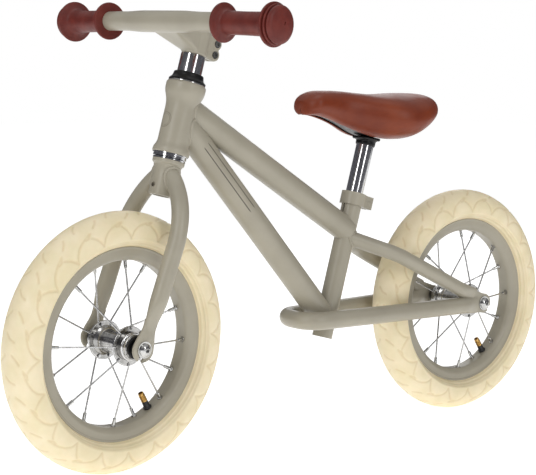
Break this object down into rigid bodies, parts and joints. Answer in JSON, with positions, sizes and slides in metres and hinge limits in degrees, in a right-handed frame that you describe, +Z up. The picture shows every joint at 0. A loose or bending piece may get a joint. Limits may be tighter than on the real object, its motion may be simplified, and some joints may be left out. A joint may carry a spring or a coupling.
{
  "type": "balance bike",
  "caption": "Child's balance bike with a welded tube frame, a looped chain stay, a turning fork, a height-adjustable saddle and spoked wheels with fat air tyres.",
  "frame": {"origin": "on the ground, midway between the two axles, in the frame's middle plane", "axes": "+X backwards, -Y to the rider's left, +Z up; the fork is turned about 5 degrees to the rider's left at rest"},
  "size_m": [0.8575, 0.3671, 0.5362],
  "materials": {
    "taupe_paint": "glossy powder coat on steel",
    "chrome_plate": "polished chrome plate",
    "hub_chrome": "polished chrome plate",
    "bolt_chrome": "chrome-plated fasteners",
    "spoke_steel": "bright drawn steel",
    "plain_steel": "zinc-plated steel",
    "black_plastic": "moulded, satin",
    "grip_rubber": "soft moulded rubber, satin",
    "cream_tyre": "cream tyre rubber, satin",
    "butyl_rubber": "butyl rubber, dusted",
    "valve_brass": "turned brass, rubber-coated at its foot",
    "saddle_leather": "tan leathercloth, semi-gloss",
    "foam": "moulded polyurethane foam"
  },
  "bodies": {
    "frame": {"head_tube": "taupe_paint", "top_tube": "taupe_paint", "down_tube": "taupe_paint", "seat_tube": "taupe_paint", "chain_stay_loop": "taupe_paint", "seat_stay_left": "taupe_paint", "seat_stay_right": "taupe_paint", "rear_dropout_left": "taupe_paint", "rear_dropout_right": "taupe_paint", "seat_clamp": "taupe_paint", "seat_clamp_bolt": "chrome_plate", "headset_upper_cup": "chrome_plate", "headset_lower_cup": "chrome_plate", "rear_axle": "plain_steel", "rear_axle_bolts": "bolt_chrome", "rear_axle_washers": "bolt_chrome", "rear_cones": "plain_steel"},
    "fork": {"steerer_tube": "plain_steel", "fork_crown": "taupe_paint", "fork_leg_left": "taupe_paint", "fork_leg_right": "taupe_paint", "crown_race": "chrome_plate", "headset_balls": "plain_steel", "headset_cover": "black_plastic", "stem_spacers": "chrome_plate", "stem_sleeve": "taupe_paint", "stem_neck": "taupe_paint", "stem_bolts": "plain_steel", "stem_cap": "black_plastic", "handlebar": "taupe_paint", "grip_left": "grip_rubber", "grip_right": "grip_rubber", "front_axle": "plain_steel", "front_axle_bolts": "bolt_chrome", "front_axle_washers": "bolt_chrome", "front_cones": "plain_steel"},
    "saddle": {"seat_post": "chrome_plate", "saddle_bracket": "black_plastic", "saddle_screws": "plain_steel", "saddle_base": "black_plastic", "saddle_foam": "foam", "saddle_cover": "saddle_leather"},
    "front_wheel": {"front_tyre": "cream_tyre", "front_inner_tube": "butyl_rubber", "front_rim": "taupe_paint", "front_spokes": "spoke_steel", "front_nipples": "spoke_steel", "front_hub": "hub_chrome", "front_hub_balls": "plain_steel", "front_hub_seals": "black_plastic", "front_valve": "valve_brass"},
    "rear_wheel": {"rear_tyre": "cream_tyre", "rear_inner_tube": "butyl_rubber", "rear_rim": "taupe_paint", "rear_spokes": "spoke_steel", "rear_nipples": "spoke_steel", "rear_hub": "hub_chrome", "rear_hub_balls": "plain_steel", "rear_hub_seals": "black_plastic", "rear_valve": "valve_brass"}
  },
  "joints": [
    {"name": "steering", "type": "hinge", "parent": "frame", "child": "fork", "pos_m": [-0.26533, 0, 0.14615], "axis": [0.2714, 0, 0.9625], "range_deg": [-84, 75]},
    {"name": "front_wheel_spin", "type": "hinge", "parent": "fork", "child": "front_wheel", "pos_m": [-0.27895, -0.00119, 0.14999], "axis": [0.0805, -0.9965, -0.0227], "continuous": true},
    {"name": "rear_wheel_spin", "type": "hinge", "parent": "frame", "child": "rear_wheel", "pos_m": [0.279, 0, 0.15], "axis": [0, -1, 0], "continuous": true},
    {"name": "seat_height", "type": "slide", "parent": "frame", "child": "saddle", "axis": [0.2723, 0, 0.9622], "range_m": [-0.058, 0.03]}
  ]
}
